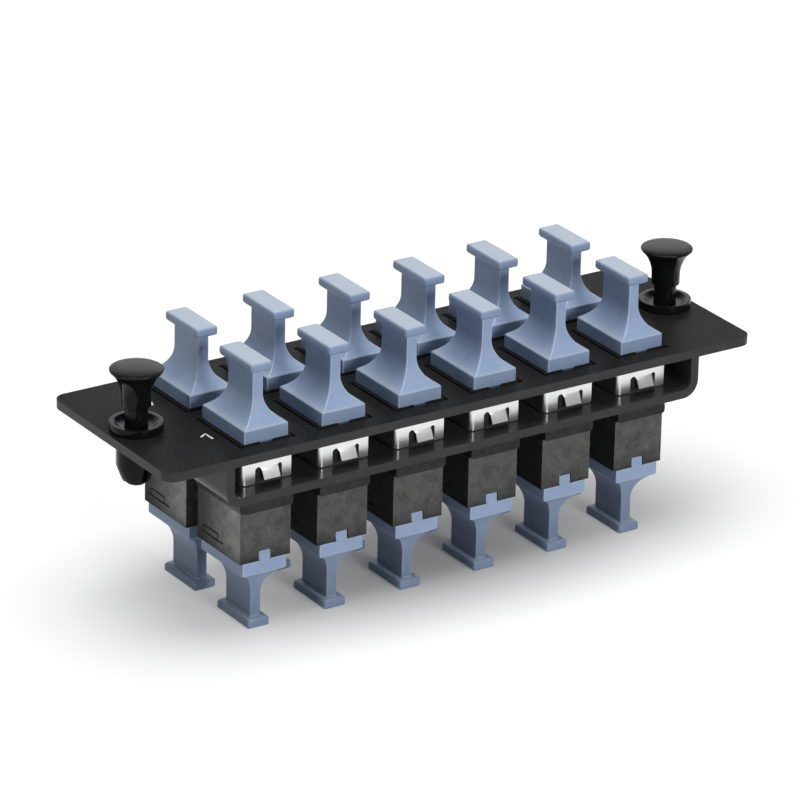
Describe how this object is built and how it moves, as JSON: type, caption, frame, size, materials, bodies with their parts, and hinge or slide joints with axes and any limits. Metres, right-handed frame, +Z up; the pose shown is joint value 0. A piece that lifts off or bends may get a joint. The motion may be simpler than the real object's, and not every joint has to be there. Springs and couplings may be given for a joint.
{
  "type": "fibre adapter panel",
  "caption": "Black moulded panel that holds two rows of snap-in multi-fibre adapters, each port closed by a pull-off dust cap, with a push latch at each end.",
  "frame": {"origin": "centre of the footprint, on the surface that the lower caps stand on", "axes": "+Z up, out of the upper ports; +X along the panel; the front row is at -Y"},
  "size_m": [0.109, 0.035, 0.0444],
  "materials": {
    "panel_plastic": "fine satin texture",
    "adapter_plastic": "eroded mould texture",
    "cap_plastic": "soft satin",
    "clip_steel": "bright rolled",
    "latch_plastic": "gloss",
    "marking_ink": "pad printed"
  },
  "bodies": {
    "panel_assembly": {"panel": "panel_plastic", "latch_grommets": "latch_plastic", "spring_clips": "clip_steel", "adapter_upper_half_01": "adapter_plastic", "adapter_upper_half_02": "adapter_plastic", "adapter_upper_half_03": "adapter_plastic", "adapter_upper_half_04": "adapter_plastic", "adapter_upper_half_05": "adapter_plastic", "adapter_upper_half_06": "adapter_plastic", "adapter_upper_half_07": "adapter_plastic", "adapter_upper_half_08": "adapter_plastic", "adapter_upper_half_09": "adapter_plastic", "adapter_upper_half_10": "adapter_plastic", "adapter_upper_half_11": "adapter_plastic", "adapter_upper_half_12": "adapter_plastic", "adapter_lower_half_01": "adapter_plastic", "adapter_lower_half_02": "adapter_plastic", "adapter_lower_half_03": "adapter_plastic", "adapter_lower_half_04": "adapter_plastic", "adapter_lower_half_05": "adapter_plastic", "adapter_lower_half_06": "adapter_plastic", "adapter_lower_half_07": "adapter_plastic", "adapter_lower_half_08": "adapter_plastic", "adapter_lower_half_09": "adapter_plastic", "adapter_lower_half_10": "adapter_plastic", "adapter_lower_half_11": "adapter_plastic", "adapter_lower_half_12": "adapter_plastic"},
    "upper_cap_01": {"upper_cap_01": "cap_plastic"},
    "upper_cap_02": {"upper_cap_02": "cap_plastic"},
    "upper_cap_03": {"upper_cap_03": "cap_plastic"},
    "upper_cap_04": {"upper_cap_04": "cap_plastic"},
    "upper_cap_05": {"upper_cap_05": "cap_plastic"},
    "upper_cap_06": {"upper_cap_06": "cap_plastic"},
    "upper_cap_07": {"upper_cap_07": "cap_plastic"},
    "upper_cap_08": {"upper_cap_08": "cap_plastic"},
    "upper_cap_09": {"upper_cap_09": "cap_plastic"},
    "upper_cap_10": {"upper_cap_10": "cap_plastic"},
    "upper_cap_11": {"upper_cap_11": "cap_plastic"},
    "upper_cap_12": {"upper_cap_12": "cap_plastic"},
    "lower_cap_01": {"lower_cap_01": "cap_plastic"},
    "lower_cap_02": {"lower_cap_02": "cap_plastic"},
    "lower_cap_03": {"lower_cap_03": "cap_plastic"},
    "lower_cap_04": {"lower_cap_04": "cap_plastic"},
    "lower_cap_05": {"lower_cap_05": "cap_plastic"},
    "lower_cap_06": {"lower_cap_06": "cap_plastic"},
    "lower_cap_07": {"lower_cap_07": "cap_plastic"},
    "lower_cap_08": {"lower_cap_08": "cap_plastic"},
    "lower_cap_09": {"lower_cap_09": "cap_plastic"},
    "lower_cap_10": {"lower_cap_10": "cap_plastic"},
    "lower_cap_11": {"lower_cap_11": "cap_plastic"},
    "lower_cap_12": {"lower_cap_12": "cap_plastic"},
    "latch_plunger_left": {"latch_plunger_left": "latch_plastic"},
    "latch_plunger_right": {"latch_plunger_right": "latch_plastic"}
  },
  "joints": [
    {"name": "upper_cap_01_pull", "type": "slide", "parent": "panel_assembly", "child": "upper_cap_01", "axis": [0, 0, 1], "range_m": [0, 0.009]},
    {"name": "upper_cap_02_pull", "type": "slide", "parent": "panel_assembly", "child": "upper_cap_02", "axis": [0, 0, 1], "range_m": [0, 0.009]},
    {"name": "upper_cap_03_pull", "type": "slide", "parent": "panel_assembly", "child": "upper_cap_03", "axis": [0, 0, 1], "range_m": [0, 0.009]},
    {"name": "upper_cap_04_pull", "type": "slide", "parent": "panel_assembly", "child": "upper_cap_04", "axis": [0, 0, 1], "range_m": [0, 0.009]},
    {"name": "upper_cap_05_pull", "type": "slide", "parent": "panel_assembly", "child": "upper_cap_05", "axis": [0, 0, 1], "range_m": [0, 0.009]},
    {"name": "upper_cap_06_pull", "type": "slide", "parent": "panel_assembly", "child": "upper_cap_06", "axis": [0, 0, 1], "range_m": [0, 0.009]},
    {"name": "upper_cap_07_pull", "type": "slide", "parent": "panel_assembly", "child": "upper_cap_07", "axis": [0, 0, 1], "range_m": [0, 0.009]},
    {"name": "upper_cap_08_pull", "type": "slide", "parent": "panel_assembly", "child": "upper_cap_08", "axis": [0, 0, 1], "range_m": [0, 0.009]},
    {"name": "upper_cap_09_pull", "type": "slide", "parent": "panel_assembly", "child": "upper_cap_09", "axis": [0, 0, 1], "range_m": [0, 0.009]},
    {"name": "upper_cap_10_pull", "type": "slide", "parent": "panel_assembly", "child": "upper_cap_10", "axis": [0, 0, 1], "range_m": [0, 0.009]},
    {"name": "upper_cap_11_pull", "type": "slide", "parent": "panel_assembly", "child": "upper_cap_11", "axis": [0, 0, 1], "range_m": [0, 0.009]},
    {"name": "upper_cap_12_pull", "type": "slide", "parent": "panel_assembly", "child": "upper_cap_12", "axis": [0, 0, 1], "range_m": [0, 0.009]},
    {"name": "lower_cap_01_pull", "type": "slide", "parent": "panel_assembly", "child": "lower_cap_01", "axis": [0, 0, -1], "range_m": [0, 0.009]},
    {"name": "lower_cap_02_pull", "type": "slide", "parent": "panel_assembly", "child": "lower_cap_02", "axis": [0, 0, -1], "range_m": [0, 0.009]},
    {"name": "lower_cap_03_pull", "type": "slide", "parent": "panel_assembly", "child": "lower_cap_03", "axis": [0, 0, -1], "range_m": [0, 0.009]},
    {"name": "lower_cap_04_pull", "type": "slide", "parent": "panel_assembly", "child": "lower_cap_04", "axis": [0, 0, -1], "range_m": [0, 0.009]},
    {"name": "lower_cap_05_pull", "type": "slide", "parent": "panel_assembly", "child": "lower_cap_05", "axis": [0, 0, -1], "range_m": [0, 0.009]},
    {"name": "lower_cap_06_pull", "type": "slide", "parent": "panel_assembly", "child": "lower_cap_06", "axis": [0, 0, -1], "range_m": [0, 0.009]},
    {"name": "lower_cap_07_pull", "type": "slide", "parent": "panel_assembly", "child": "lower_cap_07", "axis": [0, 0, -1], "range_m": [0, 0.009]},
    {"name": "lower_cap_08_pull", "type": "slide", "parent": "panel_assembly", "child": "lower_cap_08", "axis": [0, 0, -1], "range_m": [0, 0.009]},
    {"name": "lower_cap_09_pull", "type": "slide", "parent": "panel_assembly", "child": "lower_cap_09", "axis": [0, 0, -1], "range_m": [0, 0.009]},
    {"name": "lower_cap_10_pull", "type": "slide", "parent": "panel_assembly", "child": "lower_cap_10", "axis": [0, 0, -1], "range_m": [0, 0.009]},
    {"name": "lower_cap_11_pull", "type": "slide", "parent": "panel_assembly", "child": "lower_cap_11", "axis": [0, 0, -1], "range_m": [0, 0.009]},
    {"name": "lower_cap_12_pull", "type": "slide", "parent": "panel_assembly", "child": "lower_cap_12", "axis": [0, 0, -1], "range_m": [0, 0.009]},
    {"name": "latch_plunger_left_push", "type": "slide", "parent": "panel_assembly", "child": "latch_plunger_left", "axis": [0, 0, -1], "range_m": [0, 0.0032]},
    {"name": "latch_plunger_right_push", "type": "slide", "parent": "panel_assembly", "child": "latch_plunger_right", "axis": [0, 0, -1], "range_m": [0, 0.0032]}
  ]
}
